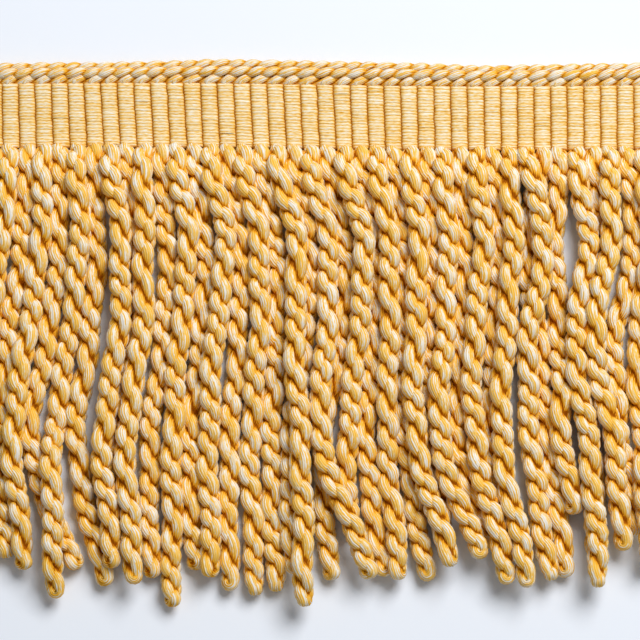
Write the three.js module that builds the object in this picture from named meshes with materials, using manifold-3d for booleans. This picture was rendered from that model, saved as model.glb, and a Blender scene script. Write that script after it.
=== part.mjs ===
import * as THREE from 'three';
import { mergeVertices } from 'three/addons/utils/BufferGeometryUtils.js';
import Module from 'manifold-3d';

const wasm = await Module();
wasm.setup();

// A cut length of twisted cord fringe, lying on its back: woven ribbed heading, three edging cords
// along its top and one hanging cord drawn out of each rib. Millimetres, +X along the trim,
// +Y towards the edging, the origin in the middle of the heading's flat back.
const RIB_COUNT = 40;
const RIB_PITCH = 4.1;
const LENGTH = RIB_COUNT * RIB_PITCH;
const GAP = 0.3;

// Heading: one rounded rib over each weft and a narrow groove between two ribs
const HEADING_HEIGHT = 16.2;
const RIB_SECTION = [
  // share of the pitch, thickness there
  [0, 2.2],
  [0.16, 2.9],
  [0.5, 3.2],
  [0.84, 2.9],
];

// The length lies in a slight wave from end to end
const DRIFT = 0.45;
const DRIFT_WAVE = 185;

// Twisted cords: four-sided section, flattened across the two plies, turned a little each step
const SIDES = 4;
const PLY_FLATNESS = 0.55;
const STEP_TURN = THREE.MathUtils.degToRad(82);

// Edging: two cords on the surface and a third in the valley between them
const EDGE_RADIUS = 1.15;
const EDGE_TURN = 2 * RIB_PITCH;
const EDGE_SPACING = 1.9;
const EDGE_REST = 1.2;
const EDGE_CLEARANCE = 2 * EDGE_RADIUS + GAP;

// Hanging cords: slimmer at the root, full round a little below it, closed at the tip
const CORD_RADIUS = 2.3;
const ROOT_RADIUS = 1.95;
const SWELL_LENGTH = 10;
const TIP_LENGTH = 4;
const TIP_SHARE = 0.55;
const CORD_TURN = 14.5;
const PHASE_STEP = 2.4;
const CORD_CLEARANCE = 0.15;
const CORD_SAMPLE = 1.5;
const SETTLE_REACH = 5;

// Root strip: the weft turns below the heading, from which all cords hang
const STRIP_TOP = 0.35;
const STRIP_DEPTH = 2;
const STRIP_LOW = 0.5;
const STRIP_HIGH = 3;
const ROOT_START = 1.2;
const STRIP_SEGMENTS = 10;

// One row a cord, from the left end. Sway off its own rib at three stations below the heading and
// at the tip, how far down the tip reaches, and the layer it was laid in: 1 under, 2 over, 3 last.
const SWAY_STATIONS = [25, 48, 74];
const CORD_ROWS = [
  // at25, at48, at74, tip, drop, layer
  [-2, -5, -8, -7, 103, 1],
  [-2, -4.5, -7, -5, 105, 2],
  [-1, -4, -6, -4, 102, 1],
  [-0.5, -3.5, -6.5, -3, 105, 2],
  [0, -2.5, -6.5, 5, 105, 1],
  [1, -1.5, -5, -4, 112, 2],
  [1, -0.5, -3.5, 4, 109, 1],
  [3, 2.5, -1, 2, 105, 2],
  [1.5, 1, -2, 1, 103, 1],
  [0.5, 0, -3.5, -1, 109, 2],
  [2, 1, -2, -1.5, 107, 1],
  [3, 1, -0.5, -0.5, 114, 2],
  [3, 2, -0.5, 1, 105, 1],
  [4, 1.5, 0, 1, 107, 2],
  [3.5, 3, 1, 1, 110, 1],
  [4, 4, 2, 3.5, 111, 2],
  [4, 4, 3, 4, 110, 1],
  [5, 4.5, 6, 7, 114, 2],
  [4, 3, -0.5, 0, 106, 1],
  [4.5, 4, 3, 15.5, 107, 3],
  [4.5, 3.5, -1, 1, 107, 1],
  [5, 3.5, 1, 1.5, 96, 2],
  [3, 3, 1.5, 5.5, 106, 1],
  [3, 3, 2.5, 5.5, 107, 2],
  [2, 2.5, 3, 8, 107, 1],
  [2, 1, 1.5, 10, 104, 2],
  [1, 0, 1.5, 4.5, 100, 1],
  [1, 0, -1, 9, 102, 2],
  [1, 0, -1, 7, 99, 1],
  [1.5, -1, -0.5, 7.5, 108, 2],
  [1, 0, -1, 5.5, 102, 1],
  [0.5, -1.5, -2.5, 4, 109, 2],
  [4, 0, 0.5, 5, 107, 2],
  [-4.5, -1.5, 0.5, 5, 106, 1],
  [-1.5, -0.5, 0, 3, 91, 1],
  [2.5, -1, 2, 4.5, 109, 2],
  [2, -3, -1, 0, 103, 1],
  [-0.5, -4.5, 0, 2, 100, 2],
  [1.5, -3.5, -2, 2, 96, 1],
  [1.5, -2, -1, 0, 104, 2],
];

// Matt yarn in gold and cream, paler where it is stretched over the ribs
const HEADING_COLOUR = 0xeac383;
const EDGING_COLOUR = 0xdfb472;
const CORD_COLOUR = 0xcb9e5d;
const YARN_ROUGHNESS = 0.8;

const HEADING_FOOT = -HEADING_HEIGHT / 2;
const HEADING_TOP = HEADING_HEIGHT / 2;

function drift(x) {
  return -DRIFT * Math.sin((2 * Math.PI * x) / DRIFT_WAVE);
}

// Moves every point of a shape by the drift of the whole length
function drifted(geometry) {
  const points = geometry.attributes.position;
  for (let i = 0; i < points.count; i += 1) {
    points.setY(i, points.getY(i) + drift(points.getX(i)));
  }
  return geometry;
}

function welded(geometry) {
  geometry.deleteAttribute('normal');
  geometry.deleteAttribute('uv');
  return mergeVertices(geometry);
}

function solidOf(geometry) {
  const closed = welded(geometry);
  const vertProperties = new Float32Array(closed.attributes.position.array);
  const triVerts = new Uint32Array(closed.index.array);
  return new wasm.Manifold(new wasm.Mesh({ numProp: 3, vertProperties, triVerts }));
}

function geometryOf(solid) {
  const mesh = solid.getMesh();
  const geometry = new THREE.BufferGeometry();
  geometry.setAttribute('position', new THREE.BufferAttribute(mesh.vertProperties, 3));
  geometry.setIndex(new THREE.BufferAttribute(mesh.triVerts, 1));
  geometry.computeVertexNormals();
  return geometry;
}

// A two-ply cord: a four-sided bar along a route, turned about it as left-hand twisted plies are.
// place(share) gives the centre, the direction and the radius at a share of the length.
function twistedCord({ place, length, turn, phase }) {
  const steps = Math.ceil((length / turn) * ((2 * Math.PI) / STEP_TURN));
  const bar = new THREE.CylinderGeometry(1, 1, 1, SIDES, steps);
  const points = bar.attributes.position;
  const up = new THREE.Vector3(0, 0, 1);
  const local = new THREE.Vector3();
  for (let i = 0; i < points.count; i += 1) {
    local.fromBufferAttribute(points, i);
    const share = 0.5 - local.y;
    const { centre, direction, radius } = place(share);
    const across = new THREE.Vector3().crossVectors(up, direction).normalize();
    const rise = new THREE.Vector3().crossVectors(direction, across);
    const angle = (2 * Math.PI * share * length) / turn + phase;
    const wide = local.x * radius;
    const thin = local.z * radius * PLY_FLATNESS;
    const sideways = wide * Math.cos(angle) + thin * Math.sin(angle);
    const upwards = thin * Math.cos(angle) - wide * Math.sin(angle);
    const point = centre.addScaledVector(across, sideways).addScaledVector(rise, upwards);
    points.setXYZ(i, point.x, point.y, point.z);
  }
  return bar;
}

// Heading: a flat bar whose face rises over each rib and sinks to the groove after it
function headingGeometry() {
  const stations = RIB_SECTION.length;
  const band = new THREE.BoxGeometry(LENGTH, HEADING_HEIGHT, 1, RIB_COUNT * stations, 1, 1);
  const points = band.attributes.position;
  for (let i = 0; i < points.count; i += 1) {
    const column = Math.round((points.getX(i) / LENGTH + 0.5) * RIB_COUNT * stations);
    const [share, thickness] = RIB_SECTION[column % stations];
    const rib = Math.floor(column / stations);
    points.setX(i, -LENGTH / 2 + (rib + share) * RIB_PITCH);
    points.setZ(i, points.getZ(i) > 0 ? thickness : 0);
  }
  return drifted(band);
}

// Edging cord of the given row, counted from the heading outwards
function edgingGeometry(row) {
  const y = HEADING_TOP + GAP + EDGE_RADIUS + row * EDGE_SPACING;
  const valley = Math.sqrt(EDGE_CLEARANCE ** 2 - EDGE_SPACING ** 2);
  const z = EDGE_REST + (row === 1 ? valley : 0);
  const direction = new THREE.Vector3(1, 0, 0);
  const place = (share) => ({
    centre: new THREE.Vector3((share - 0.5) * LENGTH, y, z),
    direction,
    radius: EDGE_RADIUS,
  });
  return drifted(twistedCord({ place, length: LENGTH, turn: EDGE_TURN, phase: row * PHASE_STEP }));
}

// Smooth curve through rows of [position, value], level at the first row
function curveThrough(rows, position) {
  const last = rows.length - 1;
  const grade = (a, b) => (rows[b][1] - rows[a][1]) / (rows[b][0] - rows[a][0]);
  const slope = (i) => {
    if (i === 0) return 0;
    return i === last ? grade(last - 1, last) : grade(i - 1, i + 1);
  };
  let i = 0;
  while (i < last - 1 && position > rows[i + 1][0]) i += 1;
  const span = rows[i + 1][0] - rows[i][0];
  const t = THREE.MathUtils.clamp((position - rows[i][0]) / span, 0, 1);
  const rest = 1 - t;
  const start = rows[i][1] * (1 + 2 * t) + slope(i) * span * t;
  const end = rows[i + 1][1] * (1 + 2 * rest) - slope(i + 1) * span * rest;
  return start * rest * rest + end * t * t;
}

function cordRadius(below, drop) {
  const swell = THREE.MathUtils.smoothstep(below, 0, SWELL_LENGTH);
  const body = THREE.MathUtils.lerp(ROOT_RADIUS, CORD_RADIUS, swell);
  const left = THREE.MathUtils.clamp((drop - below) / TIP_LENGTH, 0, 1);
  return body * THREE.MathUtils.lerp(TIP_SHARE, 1, Math.sqrt(left));
}

// Points of a cord in plan, a short step apart from the heading down to the tip
function cordPlan([at25, at48, at74, tip, drop, layer], rib) {
  const root = (rib - (RIB_COUNT - 1) / 2) * RIB_PITCH;
  const sways = [at25, at48, at74].map((sway, i) => [SWAY_STATIONS[i], sway]);
  const rows = [[0, 0], ...sways, [drop, tip]];
  const count = Math.round(drop / CORD_SAMPLE);
  const points = [];
  for (let i = 0; i <= count; i += 1) {
    const below = (drop * i) / count;
    const x = root + curveThrough(rows, below);
    points.push({ x, y: HEADING_FOOT - below, below, radius: cordRadius(below, drop), z: 0 });
  }
  return { points, layer, rib };
}

// Height at which a point of a cord clears the cords laid before it, or else the surface
function restingHeight(point, laid) {
  let height = Math.max(point.radius, ROOT_RADIUS);
  for (const other of laid) {
    for (const under of other.points) {
      const apart = Math.hypot(point.x - under.x, point.y - under.y);
      const clear = point.radius + under.radius + CORD_CLEARANCE;
      if (apart < clear) {
        height = Math.max(height, under.z + Math.sqrt(clear ** 2 - apart ** 2));
      }
    }
  }
  return height;
}

// A cord doesn't follow each small step below it: it bridges dips and eases over humps
function settle(points, heights) {
  const near = (point) => {
    const reach = Math.min(SETTLE_REACH, point.below);
    const numbers = [...points.keys()];
    return numbers.filter((i) => Math.abs(points[i].below - point.below) <= reach);
  };
  const bridged = points.map((point) => Math.max(...near(point).map((i) => heights[i])));
  points.forEach((point) => {
    const around = near(point);
    point.z = around.reduce((sum, i) => sum + bridged[i], 0) / around.length;
  });
}

function laidCords() {
  const cords = CORD_ROWS.map(cordPlan);
  const order = [...cords].sort((a, b) => a.layer - b.layer || a.rib - b.rib);
  const laid = [];
  for (const cord of order) {
    settle(cord.points, cord.points.map((point) => restingHeight(point, laid)));
    laid.push(cord);
  }
  return cords;
}

function cordGeometry({ points, rib }) {
  const centres = points
    .filter((point) => point.below >= ROOT_START)
    .map((point) => new THREE.Vector3(point.x, point.y, point.z));
  const curve = new THREE.CatmullRomCurve3(centres);
  const length = curve.getLength();
  const drop = points.at(-1).below;
  const place = (share) => ({
    centre: curve.getPointAt(share),
    direction: curve.getTangentAt(share),
    radius: cordRadius(drop * share, drop),
  });
  return drifted(twistedCord({ place, length, turn: CORD_TURN, phase: rib * PHASE_STEP }));
}

// Fringe: all cords, fused at their roots into a strip that follows the heading's foot
function fringeGeometry() {
  const strip = new THREE.BoxGeometry(LENGTH, STRIP_DEPTH, STRIP_HIGH - STRIP_LOW, STRIP_SEGMENTS);
  const middle = HEADING_FOOT - STRIP_TOP - STRIP_DEPTH / 2;
  strip.translate(0, middle, (STRIP_LOW + STRIP_HIGH) / 2);
  const cords = laidCords().map((cord) => solidOf(cordGeometry(cord)));
  const whole = cords.reduce((joined, cord) => joined.add(cord), solidOf(drifted(strip)));
  return geometryOf(whole);
}

const trim = new THREE.Group();

function addPiece(name, geometry, color) {
  const material = new THREE.MeshStandardMaterial({ color, roughness: YARN_ROUGHNESS, metalness: 0 });
  const piece = new THREE.Mesh(geometry, material);
  piece.name = name;
  trim.add(piece);
}

addPiece('heading', headingGeometry(), HEADING_COLOUR);
['edging_inner', 'edging_ridge', 'edging_outer'].forEach((name, row) => {
  addPiece(name, edgingGeometry(row), EDGING_COLOUR);
});
addPiece('fringe', fringeGeometry(), CORD_COLOUR);

export default trim;
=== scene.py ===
import math

import bpy
import numpy as np
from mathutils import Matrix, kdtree


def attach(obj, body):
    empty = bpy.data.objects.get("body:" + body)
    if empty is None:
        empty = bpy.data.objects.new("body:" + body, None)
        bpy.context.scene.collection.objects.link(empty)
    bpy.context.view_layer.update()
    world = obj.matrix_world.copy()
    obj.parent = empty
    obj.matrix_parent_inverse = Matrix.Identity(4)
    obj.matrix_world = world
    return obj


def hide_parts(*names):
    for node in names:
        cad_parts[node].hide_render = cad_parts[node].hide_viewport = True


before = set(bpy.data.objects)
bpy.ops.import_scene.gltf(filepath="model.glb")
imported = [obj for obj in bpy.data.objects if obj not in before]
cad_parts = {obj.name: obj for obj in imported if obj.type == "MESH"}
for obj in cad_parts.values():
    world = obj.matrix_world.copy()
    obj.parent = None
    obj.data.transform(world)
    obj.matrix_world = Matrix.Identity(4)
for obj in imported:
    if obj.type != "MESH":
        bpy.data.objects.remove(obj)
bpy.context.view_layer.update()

# Heading: a warp-faced ribbed band, gold and cream threads packed over forty doubled wefts.
# It is woven on a narrow loom; each weft lies straight across it and makes one rounded rib,
# and the threads dip into a narrow groove between one rib and the next.
MM = 0.001
RIBS = 40
RIB = 4.1 * MM
LENGTH = RIBS * RIB
THREADS = 21
HEIGHT = 16.2 * MM
THREAD = HEIGHT / THREADS
ROWS_A_THREAD = 4
EDGE_THREADS = 2
CREST = 3.2 * MM
GROOVE_DEPTH = 1.3 * MM
BACK_DEPTH = 0.35 * MM
THREAD_RISE = 0.045 * MM
EDGE_FALL = 0.6 * MM
BACK_EDGE_FALL = 0.36 * MM
# How square a rib and how round a thread are, as powers of their cross-sections.
RIB_SQUARENESS = 8
RIB_ROUNDING = 0.55
THREAD_ROUNDING = 0.7
# How far threads and grooves stray from their places, and threads from their height.
THREAD_STRAY = 0.045 * MM
THREAD_UNEVEN = 0.035 * MM
GROOVE_STRAY = 0.07 * MM
ROWS_A_STRAY = 6
DRIFT = 0.45 * MM
DRIFT_WAVE = 185 * MM
WEAVE_SEED = 11
# Shift of each groove's foot against its top, along the length: the ribs lean a little.
LEAN_PLACES = np.array([-82, -52, 0, 40, 82]) * MM
LEANS = np.array([0.3, 1.1, 0.75, 0.1, -0.15]) * MM


def drift(x):
    """How far the whole trim wanders sideways along its length."""
    return -DRIFT * np.sin(2 * np.pi * x / DRIFT_WAVE)


class Wire:
    """A socket of a node tree. Arithmetic on it adds Math nodes to that tree."""

    def __init__(self, tree, socket=None):
        self.tree = tree
        self.socket = socket

    def node(self, kind, settings=None, values=None, output=0):
        """Adds a node: first its settings, then the values or links of its sockets."""
        made = self.tree.nodes.new(kind)
        for name, setting in (settings or {}).items():
            if name == "stops":
                stops = made.color_ramp.elements
                while len(stops) < len(setting):
                    stops.new(1)
                for stop, (place, colour) in zip(stops, setting):
                    stop.position = place
                    stop.color = (*colour, 1)
            elif name == "captures":
                for item in setting:
                    made.capture_items.new("FLOAT", item)
            else:
                setattr(made, name, setting)
        for name, value in (values or {}).items():
            if isinstance(value, Wire):
                self.tree.links.new(value.socket, made.inputs[name])
            else:
                made.inputs[name].default_value = value
        return Wire(self.tree, made.outputs[output] if made.outputs else None)

    def out(self, name):
        """Another output of the same node."""
        return Wire(self.tree, self.socket.node.outputs[name])

    def math(self, operation, *values):
        return self.node("ShaderNodeMath", {"operation": operation}, dict(enumerate(values)))

    def __add__(self, other):
        return self.math("ADD", self, other)

    def __sub__(self, other):
        return self.math("SUBTRACT", self, other)

    def __rsub__(self, other):
        return self.math("SUBTRACT", other, self)

    def __mul__(self, other):
        return self.math("MULTIPLY", self, other)

    def __truediv__(self, other):
        return self.math("DIVIDE", self, other)

    __radd__ = __add__
    __rmul__ = __mul__

    def floor(self):
        return self.math("FLOOR", self)

    def wave(self):
        """0 at whole numbers, 1 halfway between them."""
        return 0.5 - 0.5 * self.math("COSINE", 2 * math.pi * self)

    def vector(self, x, y, z):
        return self.node("ShaderNodeCombineXYZ", values={0: x, 1: y, 2: z})

    def chance(self, x, y):
        """A fixed chance number for each pair of whole numbers."""
        settings = {"noise_dimensions": "2D"}
        return self.node("ShaderNodeTexWhiteNoise", settings, {"Vector": self.vector(x, y, 0.0)})

    def noise(self, x, y, z, detail=2.0):
        values = {"Vector": self.vector(x, y, z), "Scale": 1.0, "Detail": detail}
        return self.node("ShaderNodeTexNoise", values=values)


def yarn_shader(material, colour, roughness, height, depth):
    """Matt cotton with a soft sheen, its relief from a bump of the given height and depth."""
    tree = Wire(material.node_tree)
    values = {"Strength": 1.0, "Distance": depth, "Height": height}
    bump = tree.node("ShaderNodeBump", values=values)
    values = {
        "Base Color": colour,
        "Roughness": roughness,
        "Normal": bump,
        "Specular IOR Level": 0.08,
    }
    surface = tree.node("ShaderNodeBsdfPrincipled", values=values)
    tree.node("ShaderNodeOutputMaterial", values={"Surface": surface})


def new_material(name):
    material = bpy.data.materials.new(name)
    material.use_nodes = True
    material.node_tree.nodes.clear()
    return material


def add_piece(name, mesh, node):
    """Puts a finished mesh in the scene as a piece of the trim, for the solid of that node."""
    piece = bpy.data.objects.new(name, mesh)
    bpy.context.collection.objects.link(piece)
    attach(piece, "root")
    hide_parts(node)
    return piece


heading_yarn = new_material("heading_yarn")
tree = Wire(heading_yarn.node_tree)
weave = tree.node("ShaderNodeUVMap", {"uv_map": "weave"})
weave = tree.node("ShaderNodeSeparateXYZ", values={0: weave})
across, down = weave.out("X"), weave.out("Y")
rib_number, thread_number = across.floor(), down.floor()
wander = tree.noise(across * 1.8, down * 0.7, rib_number * 7.0, detail=1.0) - 0.5
# Gold in the valleys between threads: gold yarn there, and partly painted shade.
stripe = tree.math("POWER", (down + wander * 0.6).wave(), 0.45)
streak = tree.noise(across * 3.2, down * 5.5, rib_number, detail=4.0) - 0.5
odd_thread = tree.chance(rib_number, thread_number) - 0.5
# Painted shade: 1 on a rib's crown, falling towards the grooves between ribs.
groove_shade = tree.math("POWER", across.wave(), 0.12)
# Paler on a thread's back, gold in the valley between threads (gold yarn there, and partly painted
# shade); painted shade darkens each rib towards its grooves; streaks along the threads and odd
# threads vary it.
tone = stripe * 0.42 + streak * 1.6 + odd_thread * 0.14 + groove_shade * 0.7 - 0.43
heading_stops = [
    (0.0, (0.6, 0.26, 0.015)),
    (0.3, (0.81, 0.45, 0.07)),
    (0.5, (0.88, 0.63, 0.26)),
    (0.72, (0.88, 0.77, 0.56)),
    (0.9, (0.9, 0.87, 0.8)),
]
colour = tree.node("ShaderNodeValToRGB", {"stops": heading_stops}, {0: tone})
fibre = tree.noise(across * 9.0, down * 12.0, 3.0)
yarn_shader(heading_yarn, colour, 0.72, fibre * 0.5 + stripe, 0.05 * MM)

# Columns of points stand close in the grooves, and rows of points follow each thread's round back.
rib_shares = np.array([0, 0.02, 0.05, 0.11, 0.26, 0.5, 0.74, 0.89, 0.95, 0.98])
columns = np.append((np.arange(RIBS)[:, None] + rib_shares).ravel(), RIBS)
rows = np.linspace(0, THREADS, ROWS_A_THREAD * THREADS + 1)
share = columns % 1
rib_of = np.minimum(columns.astype(int), RIBS - 1)
rib_rise = (1 - np.abs(2 * share - 1) ** RIB_SQUARENESS) ** RIB_ROUNDING
thread_rise = np.sin(np.pi * (rows % 1)) ** THREAD_ROUNDING
rng = np.random.default_rng(WEAVE_SEED)
place_jitter = rng.normal(0, THREAD_STRAY, (len(rows), RIBS))[:, rib_of]
height_jitter = rng.normal(0, THREAD_UNEVEN, (len(rows), RIBS))[:, rib_of]
# A groove strays slowly: one chance place for every few rows, and a straight line between them.
groove_jitter = rng.normal(0, GROOVE_STRAY, (len(rows) // ROWS_A_STRAY + 2, RIBS + 1))
groove_rows = np.linspace(0, len(groove_jitter) - 1, len(rows))
groove_of = np.round(columns).astype(int)
stray_rows = np.arange(len(groove_jitter))
groove_jitter = np.array(
    [np.interp(groove_rows, stray_rows, stray) for stray in groove_jitter.T]
).T[:, groove_of]
x = columns * RIB - LENGTH / 2
lean = np.interp(x, LEAN_PLACES, LEANS)
x_grid = x + lean * (rows[:, None] / THREADS - 0.5) + groove_jitter * (np.abs(2 * share - 1) ** 2)
# The threads of every second rib lie half a thread lower, which fades out at the edges.
from_edge = np.minimum(rows, THREADS - rows)
half_step = np.where(share == 0, 0.25, 0.5 * (rib_of % 2)) * THREAD
half_step = half_step * np.clip(from_edge / EDGE_THREADS, 0, 1)[:, None]
y_grid = HEIGHT / 2 - rows[:, None] * THREAD - half_step + place_jitter * rib_rise + drift(x_grid)
edge = np.clip(1 - from_edge, 0, 1)[:, None] ** 2
front = CREST - GROOVE_DEPTH * (1 - rib_rise) - EDGE_FALL * edge
front = front + (THREAD_RISE * thread_rise[:, None] + height_jitter) * rib_rise
back = BACK_DEPTH * (1 - rib_rise) + BACK_EDGE_FALL * edge
back = back + THREAD_RISE * (1 - thread_rise[:, None]) * rib_rise
points = np.concatenate(
    [np.stack([x_grid, y_grid, z_grid], axis=-1).reshape(-1, 3) for z_grid in (front, back)]
)
number = np.arange(len(rows) * len(columns)).reshape(len(rows), len(columns))
behind = number + number.size


def quads(a, b, c, d):
    return np.stack([a, b, c, d], axis=-1).reshape(-1, 4)


faces = np.concatenate(
    [
        quads(number[:-1, :-1], number[1:, :-1], number[1:, 1:], number[:-1, 1:]),
        quads(behind[:-1, :-1], behind[:-1, 1:], behind[1:, 1:], behind[1:, :-1]),
        quads(number[0, :-1], number[0, 1:], behind[0, 1:], behind[0, :-1]),
        quads(number[-1, 1:], number[-1, :-1], behind[-1, :-1], behind[-1, 1:]),
        quads(number[:-1, 0], behind[:-1, 0], behind[1:, 0], number[1:, 0]),
        quads(number[:-1, -1], number[1:, -1], behind[1:, -1], behind[:-1, -1]),
    ]
)
heading_mesh = bpy.data.meshes.new("heading_band")
heading_mesh.from_pydata(points.tolist(), [], faces.tolist())
heading_mesh.shade_smooth()
weave_place = np.stack(np.broadcast_arrays(columns, rows[:, None]), axis=-1).reshape(-1, 2)
weave_place = np.concatenate([weave_place, weave_place])
weave_map = heading_mesh.uv_layers.new(name="weave")
weave_map.uv.foreach_set("vector", weave_place[faces.ravel()].ravel().astype(np.float32))
heading_mesh.materials.append(heading_yarn)
heading = add_piece("heading_band", heading_mesh, "heading")

# Edging: three thin cords along the top of the heading, each twisted from two strands of soft gold
# and cream yarn. Two lie side by side on the surface and one in the valley between them. The end
# of each weft comes up out of its rib beside the first cord and is pulled in under the second.
EDGE_TURN = 8.2 * MM
# Middle of each cord across the trim and above the surface, phase, how far its strands wind
# sideways, and share of the pull.
EDGE_ROWS = {
    "edging_inner": (9.2 * MM, 1.6 * MM, 0.0, 0.6 * MM, 0.1),
    "edging_ridge": (11.15 * MM, 2.4 * MM, 2.4, 0.52 * MM, 0.6),
    "edging_outer": (13.2 * MM, 1.4 * MM, 4.8, 0.45 * MM, 1.0),
}
# How far the cords are pulled in towards the heading along the length.
PULL_PLACES = np.array([-78, -53, -38, -25, -8, 12, 25, 40, 57, 78]) * MM
PULLS = np.array([0.9, 0.9, 0.6, 0.0, 0.1, 0.2, 0.3, 0.9, 0.6, 0.4]) * MM
EDGE_RISE = 0.6 * MM
EDGE_FULL = 1.08 * MM
EDGE_STEP = 0.36 * MM
EDGE_SIDES = 12
# A strand is full on top and thins as it dips: how thin, how far down that starts, how roundly.
EDGE_THIN = 0.6
EDGE_DIP = 0.2
EDGE_ROUNDING = 0.8
# Uneven twist: how many radians it runs ahead or behind, over what length, and share of the phase.
EDGE_UNEVEN = ((0.25, 4.9 * MM, 3), (0.2, 2.3 * MM, 1))
# Weft ends: thickness as a share of a full strand, and points from the start of each rib.
TOOTH_THICKNESS = 0.6
TOOTH_POINTS = np.array([(0.5, -1.2, 2.4), (1.3, 0.3, 2.7), (2.3, 1.7, 2.2), (2.8, 2.7, 1.6)]) * MM

# The seam of a tube and its pointed ends are closed by joining points closer than this.
SEAM = 0.0005 * MM
tube_tree = bpy.data.node_groups.new("yarn_tubes", "GeometryNodeTree")
tube_sockets = {"Strands": "Geometry", "Radius": "Float", "Sides": "Int", "Yarn": "Material"}
for name, kind in tube_sockets.items():
    tube_tree.interface.new_socket(name, in_out="INPUT", socket_type="NodeSocket" + kind)
tube_tree.interface.new_socket("Tubes", in_out="OUTPUT", socket_type="NodeSocketGeometry")
tree = Wire(tube_tree)
given = tree.node("NodeGroupInput")
along = tree.node("GeometryNodeSplineParameter", output="Length")
values = {"Geometry": given.out("Strands"), "along": along}
lined = tree.node("GeometryNodeCaptureAttribute", {"captures": ["along"]}, values)
values = {"Geometry": lined, "ply": tree.node("GeometryNodeInputIndex")}
settings = {"domain": "CURVE", "captures": ["ply"]}
numbered = tree.node("GeometryNodeCaptureAttribute", settings, values)
values = {
    "Resolution": given.out("Sides") + 1,
    "Radius": given.out("Radius"),
    "Sweep Angle": 2 * math.pi,
}
ring = tree.node("GeometryNodeCurveArc", {"mode": "RADIUS"}, values)
values = {"Geometry": ring, "around": tree.node("GeometryNodeSplineParameter")}
ring = tree.node("GeometryNodeCaptureAttribute", {"captures": ["around"]}, values)
swell = tree.node("GeometryNodeInputRadius")
values = {"Curve": numbered, "Profile Curve": ring, "Scale": swell}
tube = tree.node("GeometryNodeCurveToMesh", values=values)
place = tree.vector(ring.out("around"), lined.out("along") / MM, 0.0)
settings = {"data_type": "FLOAT2", "domain": "CORNER"}
values = {"Geometry": tube, "Name": "yarn", "Value": place}
tube = tree.node("GeometryNodeStoreNamedAttribute", settings, values)
settings = {"data_type": "FLOAT", "domain": "FACE"}
values = {"Geometry": tube, "Name": "ply", "Value": numbered.out("ply")}
tube = tree.node("GeometryNodeStoreNamedAttribute", settings, values)
tube = tree.node("GeometryNodeMergeByDistance", values={"Geometry": tube, "Distance": SEAM})
tube = tree.node("GeometryNodeSetShadeSmooth", values={"Geometry": tube})
tube = tree.node("GeometryNodeRealizeInstances", values={"Geometry": tube})
values = {"Geometry": tube, "Material": given.out("Yarn")}
tube = tree.node("GeometryNodeSetMaterial", values=values)
tree.node("NodeGroupOutput", values={"Tubes": tube})


def tube_mesh(name, paths, swells, sizes, core, reach):
    """Runs the tree over strands given by their points and returns the plain mesh.

    The mesh keeps how far out each point lies: 0 at the core of its cord, 1 at its reach there. The
    yarn material paints shade into the creases from it.
    """
    curve = bpy.data.curves.new(name, "CURVE")
    curve.dimensions = "3D"
    for path, swell in zip(paths, swells):
        spline = curve.splines.new("POLY")
        spline.points.add(len(path) - 1)
        spline.points.foreach_set("co", np.column_stack([path, np.ones(len(path))]).ravel())
        spline.points.foreach_set("radius", swell)
    strands = bpy.data.objects.new(name + "_strands", curve)
    bpy.context.collection.objects.link(strands)
    modifier = strands.modifiers.new("yarn_tubes", "NODES")
    modifier.node_group = tube_tree
    for item in tube_tree.interface.items_tree:
        if item.name in sizes:
            modifier[item.identifier] = sizes[item.name]
    ready = strands.evaluated_get(bpy.context.evaluated_depsgraph_get())
    mesh = bpy.data.meshes.new_from_object(ready)
    mesh.name = name
    bpy.data.objects.remove(strands)
    bpy.data.curves.remove(curve)
    finder = kdtree.KDTree(len(core))
    for number, point in enumerate(core):
        finder.insert(point, number)
    finder.balance()
    nearest = [finder.find(vertex.co) for vertex in mesh.vertices]
    depths = [distance / reach[number] for _, number, distance in nearest]
    mesh.attributes.new("depth", "FLOAT", "POINT").data.foreach_set("value", depths)
    return mesh


END_THICKNESS = 0.8


def closed_ends(count):
    """Full thickness along a strand, drawn in to a point at both ends."""
    swell = np.ones(count)
    swell[[0, -1]] = 0
    swell[[1, -2]] = END_THICKNESS
    return swell


yarn_stops = [
    (0.0, (0.38, 0.1, 0.0)),
    (0.22, (0.78, 0.32, 0.008)),
    (0.42, (0.9, 0.455, 0.03)),
    (0.6, (0.885, 0.565, 0.13)),
    (0.85, (0.85, 0.76, 0.61)),
    (1.0, (0.87, 0.84, 0.78)),
]


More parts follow.
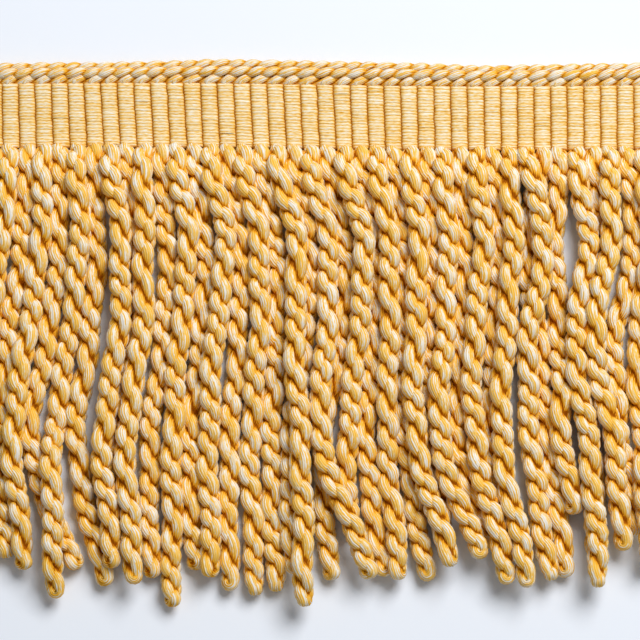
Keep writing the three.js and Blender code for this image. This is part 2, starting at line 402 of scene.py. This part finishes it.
def yarn_material(name, yarns, lay, white, shade):
    """Melange of gold and cream yarns side by side around a ply, laid at a slant to it.

    White is how pale the yarns are on the whole, and shade how much painted shade darkens the
    creases.
    """
    material = new_material(name)
    tree = Wire(material.node_tree)
    place = tree.node("ShaderNodeUVMap", {"uv_map": "yarn"})
    place = tree.node("ShaderNodeSeparateXYZ", values={0: place})
    around, along = place.out("X"), place.out("Y")
    ply = tree.node("ShaderNodeAttribute", {"attribute_name": "ply"}, output="Fac")
    depth = tree.node("ShaderNodeAttribute", {"attribute_name": "depth"}, output="Fac")
    turn = around + along * (lay / yarns)
    ring_x = tree.math("COSINE", turn * (2 * math.pi)) * (yarns / (2 * math.pi))
    ring_y = tree.math("SINE", turn * (2 * math.pi)) * (yarns / (2 * math.pi))
    ridge = (turn * yarns).wave()
    # White streaks run along the yarns, flecks of fibre break them up, and long dips are all gold.
    streak = tree.noise(ring_x * 1.3, ring_y * 1.3, along * 0.2 + ply * 7.3) - 0.5
    fibre = tree.noise(ring_x * 2.4, ring_y * 2.4, along * 1.1 + ply * 3.7, detail=3.0) - 0.5
    dip = tree.noise(along * 0.12, ply * 3.1, 0.0, detail=1.0) - 0.5
    pale = white + streak * 4.9 + fibre * 3.2 + dip
    pale = tree.math("SMOOTH_MIN", tree.math("SMOOTH_MAX", pale, 0.0, 0.2), 1.0, 0.2)
    # Painted shade: the tone falls to brown in the creases, and to gold in the fine lines between
    # yarns.
    # Painted shade mask: near 1 on the open side of a ply, falling into the creases.
    crease_shade = tree.math("SMOOTH_MIN", depth * 1.25, 1.0, 0.2)
    tone = 0.4 + 0.45 * pale + shade * (crease_shade - 0.95) + 0.2 * (ridge - 0.45)
    colour = tree.node("ShaderNodeValToRGB", {"stops": yarn_stops}, {0: tone})
    yarn_shader(material, colour, 0.7, ridge + fibre * 0.8, 0.07 * MM)
    return material


edging_yarn = yarn_material("edging_yarn", yarns=14, lay=0.12, white=0.58, shade=1.3)
run = np.linspace(-LENGTH / 2, LENGTH / 2, round(LENGTH / EDGE_STEP))
for name, (y, z, phase, winding, pull) in EDGE_ROWS.items():
    paths, swells = [], []
    y = y + drift(run) - pull * np.interp(run, PULL_PLACES, PULLS)
    for start in (phase, phase + math.pi):
        uneven = sum(ahead * np.sin(run / wave + part * phase) for ahead, wave, part in EDGE_UNEVEN)
        angle = start - 2 * np.pi * run / EDGE_TURN + uneven
        aside, rise = winding * np.cos(angle), EDGE_RISE * np.sin(angle)
        paths.append(np.column_stack([run, y + aside, z + rise]))
        bulge = (np.maximum(np.sin(angle) + EDGE_DIP, 0) / (1 + EDGE_DIP)) ** EDGE_ROUNDING
        swells.append((EDGE_THIN + (1 - EDGE_THIN) * bulge) * closed_ends(len(run)))
    core = np.column_stack([run, y, np.full(len(run), z)])
    if name == "edging_inner":
        for rib in range(RIBS - 1):
            tooth = TOOTH_POINTS + [rib * RIB - LENGTH / 2, HEIGHT / 2, 0]
            tooth[:, 1] += drift(tooth[:, 0])
            paths.append(tooth)
            swells.append(TOOTH_THICKNESS * np.array([0, 1, 1, 0]))
    sizes = {"Radius": EDGE_FULL, "Sides": EDGE_SIDES, "Yarn": edging_yarn}
    reach = np.full(len(run), EDGE_RISE + EDGE_FULL)
    mesh = tube_mesh(name + "_cord", paths, swells, sizes, core, reach)
    add_piece(name + "_cord", mesh, name)

# Cords: below the heading each weft goes on as a loop of two-ply gold and cream yarn, twisted on
# itself. The two legs of the loop close into a round cord with the loop's eye at its tip. The
# cords hang from the ribs, and lie on the surface and on each other.
FOOT = -HEIGHT / 2
# Cords lie on each other by this radius. Their soft yarn reaches further, into a neighbour's.
CORD_RADIUS = 2.3 * MM
ROOT_RADIUS = 1.95 * MM
SWELL_LENGTH = 10 * MM
TIP_LENGTH = 4 * MM
TIP_SHARE = 0.55
CLEARANCE = 0.15 * MM
SAMPLE = 1.5 * MM
SETTLE_REACH = 5 * MM
ROUNDING = 1e-9
CORD_TURN = 13 * MM
LEG_WINDING = 1.09 * MM
PLY_WINDING = 0.57 * MM
PLY_RADIUS = 1.42 * MM
PLUMP = 0.17
LEG_REACH = math.hypot(LEG_WINDING, PLY_WINDING)
PLY_REACH = PLY_RADIUS * (1 + PLUMP)
CORD_REACH = LEG_REACH + PLY_REACH
CORD_TAPER = 0.95
TAPER_LENGTH = 22 * MM
EYE_LENGTH = 5 * MM
EYE_WINDING = 0.72
EYE_POINTS = 5
WIGGLE = 0.35 * MM
WIGGLE_WAVE = 24 * MM
RING_STEP = 0.9 * MM
PLY_SIDES = 10
ROOT_SINK = 0.35 * MM
CORDS_A_PIECE = 8
# The twist: its angle at the root, and how far that, the pitch and the evenness vary.
START_ANGLE = 2.4
START_SPREAD = 0.5
PITCH_SPREAD = 0.08
UNEVEN_TWIST = 0.45
# Multiples of the rib's number, as angles, make each cord differ from its neighbours.
WIGGLE_PHASE = 3.1
PITCH_PHASE = 2.3
TWIST_PHASE = 1.7
START_PHASE = 1.9
# The legs come out of the rib close together: how thick they are there and how far they wind.
ROOT_PLACES = np.array([-1.1, 0.2, 1.5, 5, 10]) * MM
ROOT_THICKNESS = (0.75, 0.98, 1.1, 1.05, 1)
ROOT_WINDING = (0.2, 0.35, 0.7, 0.9, 1)
# Sideways sway 25, 48 and 74 mm below the heading and at the tip, length, and layer in the pile.
SWAY_STATIONS = (25 * MM, 48 * MM, 74 * MM)
CORD_ROWS = [
    (-2, -5, -8, -7, 103, 1),
    (-2, -4.5, -7, -5, 105, 2),
    (-1, -4, -6, -4, 102, 1),
    (-0.5, -3.5, -6.5, -3, 105, 2),
    (0, -2.5, -6.5, 5, 105, 1),
    (1, -1.5, -5, -4, 112, 2),
    (1, -0.5, -3.5, 4, 109, 1),
    (3, 2.5, -1, 2, 105, 2),
    (1.5, 1, -2, 1, 103, 1),
    (0.5, 0, -3.5, -1, 109, 2),
    (2, 1, -2, -1.5, 107, 1),
    (3, 1, -0.5, -0.5, 114, 2),
    (3, 2, -0.5, 1, 105, 1),
    (4, 1.5, 0, 1, 107, 2),
    (3.5, 3, 1, 1, 110, 1),
    (4, 4, 2, 3.5, 111, 2),
    (4, 4, 3, 4, 110, 1),
    (5, 4.5, 6, 7, 114, 2),
    (4, 3, -0.5, 0, 106, 1),
    (4.5, 4, 3, 15.5, 107, 3),
    (4.5, 3.5, -1, 1, 107, 1),
    (5, 3.5, 1, 1.5, 96, 2),
    (3, 3, 1.5, 5.5, 106, 1),
    (3, 3, 2.5, 5.5, 107, 2),
    (2, 2.5, 3, 8, 107, 1),
    (2, 1, 1.5, 10, 104, 2),
    (1, 0, 1.5, 4.5, 100, 1),
    (1, 0, -1, 9, 102, 2),
    (1, 0, -1, 7, 99, 1),
    (1.5, -1, -0.5, 7.5, 108, 2),
    (1, 0, -1, 5.5, 102, 1),
    (0.5, -1.5, -2.5, 4, 109, 2),
    (4, 0, 0.5, 5, 107, 2),
    (-4.5, -1.5, 0.5, 5, 106, 1),
    (-1.5, -0.5, 0, 3, 91, 1),
    (2.5, -1, 2, 4.5, 109, 2),
    (2, -3, -1, 0, 103, 1),
    (-0.5, -4.5, 0, 2, 100, 2),
    (1.5, -3.5, -2, 2, 96, 1),
    (1.5, -2, -1, 0, 104, 2),
]


def curve_through(places, values, position):
    """Smooth curve through the values at their places, level at the first one."""
    grade = np.zeros(len(places))
    grade[1:-1] = (values[2:] - values[:-2]) / (places[2:] - places[:-2])
    grade[-1] = (values[-1] - values[-2]) / (places[-1] - places[-2])
    i = np.clip(np.searchsorted(places, position) - 1, 0, len(places) - 2)
    span = places[i + 1] - places[i]
    t = np.clip((position - places[i]) / span, 0, 1)
    rest = 1 - t
    start = values[i] * (1 + 2 * t) + grade[i] * span * t
    end = values[i + 1] * (1 + 2 * rest) - grade[i + 1] * span * rest
    return start * rest**2 + end * t**2


def smooth(value, low, high):
    t = np.clip((value - low) / (high - low), 0, 1)
    return t * t * (3 - 2 * t)


def body_radius(below):
    return ROOT_RADIUS + (CORD_RADIUS - ROOT_RADIUS) * smooth(below, 0, SWELL_LENGTH)


class Cord:
    """One hanging cord: where it lies, and the looped strand that it is twisted from."""

    def __init__(self, rib, row):
        *sways, tip, drop, self.layer = row
        self.rib = rib
        self.drop = drop * MM
        self.root = (rib - (RIBS - 1) / 2) * RIB
        self.places = np.array([0, *SWAY_STATIONS, self.drop])
        self.sways = np.array([0, *sways, tip]) * MM
        self.below = np.linspace(0, self.drop, round(self.drop / SAMPLE) + 1)
        left = np.clip((self.drop - self.below) / TIP_LENGTH, 0, 1)
        self.radius = body_radius(self.below) * (TIP_SHARE + (1 - TIP_SHARE) * np.sqrt(left))
        self.height = np.maximum(self.radius, ROOT_RADIUS)

    def across(self, below):
        return self.root + curve_through(self.places, self.sways, below)

    def lie_on(self, laid):
        """Rests it on the surface and the cords laid before, bridging dips, easing over humps."""
        x = self.across(self.below)
        for other in laid:
            aside = x[:, None] - other.across(other.below)
            apart = np.hypot(aside, self.below[:, None] - other.below)
            clear = self.radius[:, None] + other.radius + CLEARANCE
            lift = np.sqrt(np.maximum(clear**2 - apart**2, 0))
            lift = np.where(apart < clear, other.height + lift, 0)
            self.height = np.maximum(self.height, lift.max(axis=1))
        reach = np.minimum(SETTLE_REACH, self.below)[:, None] + ROUNDING
        near = np.abs(self.below[:, None] - self.below) <= reach
        bridged = np.where(near, self.height, 0).max(axis=1)
        self.height = np.where(near, bridged, 0).sum(axis=1) / near.sum(axis=1)

    def middle(self, below, reach):
        """Points along the middle of the cord, high enough for its reach to clear the surface."""
        hanging = np.maximum(below, 0)
        full = smooth(below, 0, SWELL_LENGTH)
        height = curve_through(self.below, self.height, hanging)
        height = height + (CORD_REACH - CORD_RADIUS) * full - ROOT_SINK * (1 - full)
        wiggle = WIGGLE * full * np.sin(2 * np.pi * below / WIGGLE_WAVE + WIGGLE_PHASE * self.rib)
        x = self.across(hanging) + wiggle
        return np.column_stack([x, FOOT - below, np.maximum(height, reach)])

    def wind(self):
        """Lays the two plies of the loop: down one leg, round the tip and up the other leg."""
        end = self.drop - LEG_WINDING * EYE_WINDING - PLY_RADIUS
        below = np.linspace(ROOT_PLACES[0], end, round((end - ROOT_PLACES[0]) / RING_STEP))
        taper = 1 - (1 - CORD_TAPER) * smooth(below, end - TAPER_LENGTH, end)
        eye = 1 - (1 - EYE_WINDING) * smooth(below, end - EYE_LENGTH, end)
        swell = np.interp(below, ROOT_PLACES, ROOT_THICKNESS) * taper
        winding = np.interp(below, ROOT_PLACES, ROOT_WINDING) * taper * eye
        self.reach = LEG_REACH * winding + PLY_REACH * swell
        self.centre = centre = self.middle(below, self.reach)
        step = np.linalg.norm(np.diff(centre, axis=0), axis=1)
        run = np.concatenate([[0], np.cumsum(step)])
        ahead = np.gradient(centre, axis=0)
        ahead /= np.linalg.norm(ahead, axis=1)[:, None]
        aside = np.cross([0, 0, 1], ahead)
        aside /= np.linalg.norm(aside, axis=1)[:, None]
        rise = np.cross(ahead, aside)
        pitch = CORD_TURN * (1 + PITCH_SPREAD * math.sin(PITCH_PHASE * self.rib))
        uneven = UNEVEN_TWIST * np.sin(2 * np.pi * run / WIGGLE_WAVE + TWIST_PHASE * self.rib)
        start = START_ANGLE + START_SPREAD * math.sin(START_PHASE * self.rib)
        angle = start - 2 * np.pi * run / pitch + uneven
        cosine, sine = (winding * np.cos(angle))[:, None], (winding * np.sin(angle))[:, None]
        leg = LEG_WINDING * (cosine * aside + sine * rise)
        ply = PLY_WINDING * (sine * aside + cosine * rise)
        plump = PLUMP * np.sin(2 * angle)
        bend = np.linspace(0, np.pi, EYE_POINTS + 2)[1:-1, None]
        tip = np.cos(bend) * leg[-1] + np.sin(bend) * np.linalg.norm(leg[-1]) * ahead[-1]
        legs = np.concatenate([centre + leg, centre[-1] + tip, (centre - leg)[::-1]])
        legs[:, 1] += drift(legs[:, 0])
        ply = np.concatenate([ply, np.repeat(ply[-1:], len(tip), axis=0), ply[::-1]])
        tip_plump = np.linspace(plump[-1], -plump[-1], len(tip))
        plump = np.concatenate([plump, tip_plump, -plump[::-1]])
        swell = np.concatenate([swell, np.full(len(tip), swell[-1]), swell[::-1]])
        swell = swell * closed_ends(len(legs))
        self.plies = [legs + ply, legs - ply]
        self.swells = [swell * (1 + plump), swell * (1 - plump)]


cords = [Cord(rib, row) for rib, row in enumerate(CORD_ROWS)]
laid = []
for cord in sorted(cords, key=lambda cord: (cord.layer, cord.rib)):
    cord.lie_on(laid)
    cord.wind()
    laid.append(cord)

cord_yarn = yarn_material("cord_yarn", yarns=16, lay=0.1, white=0.27, shade=2.2)
for first in range(0, RIBS, CORDS_A_PIECE):
    group = cords[first : first + CORDS_A_PIECE]
    paths = [path for cord in group for path in cord.plies]
    swells = [swell for cord in group for swell in cord.swells]
    core = np.concatenate([cord.centre for cord in group])
    reach = np.concatenate([cord.reach for cord in group])
    sizes = {"Radius": PLY_RADIUS, "Sides": PLY_SIDES, "Yarn": cord_yarn}
    name = f"cords_{first + 1}_to_{first + CORDS_A_PIECE}"
    mesh = tube_mesh(name, paths, swells, sizes, core, reach)
    add_piece(name, mesh, "fringe")

# Floor, light and camera: a pale matt table, one large soft lamp from the upper right with
# a bright room around it, and a long lens that looks down on the trim.
FLOOR_SIZE = 3.0
floor_mesh = bpy.data.meshes.new("table")
half = FLOOR_SIZE / 2
floor_mesh.from_pydata(
    [(-half, -half, 0), (half, -half, 0), (half, half, 0), (-half, half, 0)], [], [(0, 1, 2, 3)]
)
table_white = new_material("table_white")
tree = Wire(table_white.node_tree)
values = {"Base Color": (0.83, 0.87, 0.94, 1), "Roughness": 0.6, "Specular IOR Level": 0.2}
surface = tree.node("ShaderNodeBsdfPrincipled", values=values)
tree.node("ShaderNodeOutputMaterial", values={"Surface": surface})
floor_mesh.materials.append(table_white)
floor = bpy.data.objects.new("table", floor_mesh)
bpy.context.collection.objects.link(floor)

TARGET = (0.5 * MM, -50.8 * MM, 1.5 * MM)
ELEVATION = math.radians(80)
FRAME_WIDTH = 156.8 * MM
LENS = 250.0
SENSOR = 36.0
lens = bpy.data.cameras.new("camera")
lens.lens = LENS
lens.sensor_width = SENSOR
lens.clip_start = 0.01
camera = bpy.data.objects.new("camera", lens)
bpy.context.collection.objects.link(camera)
distance = FRAME_WIDTH * LENS / SENSOR
camera.location = (
    TARGET[0],
    TARGET[1] - distance * math.cos(ELEVATION),
    TARGET[2] + distance * math.sin(ELEVATION),
)
camera.rotation_euler = (math.pi / 2 - ELEVATION, 0, 0)
bpy.context.scene.camera = camera

KEY_PLACE = (0.4, 0.48, 0.92)
KEY_SIZE = 0.65
KEY_POWER = 13.8
lamp = bpy.data.lights.new("key_lamp", "AREA")
lamp.size = KEY_SIZE
lamp.energy = KEY_POWER
key_lamp = bpy.data.objects.new("key_lamp", lamp)
key_lamp.location = KEY_PLACE
x, y, z = (place - aim for place, aim in zip(KEY_PLACE, TARGET))
key_lamp.rotation_euler = (math.atan2(math.hypot(x, y), z), 0, math.atan2(x, -y))
bpy.context.collection.objects.link(key_lamp)

ROOM_COLOUR = (0.92, 0.96, 1, 1)
ROOM_LIGHT = 0.25
room = bpy.data.worlds.new("room")
room.use_nodes = True
glow = room.node_tree.nodes["Background"].inputs
glow["Color"].default_value = ROOM_COLOUR
glow["Strength"].default_value = ROOM_LIGHT
bpy.context.scene.world = room
bpy.context.scene.view_settings.view_transform = "Standard"
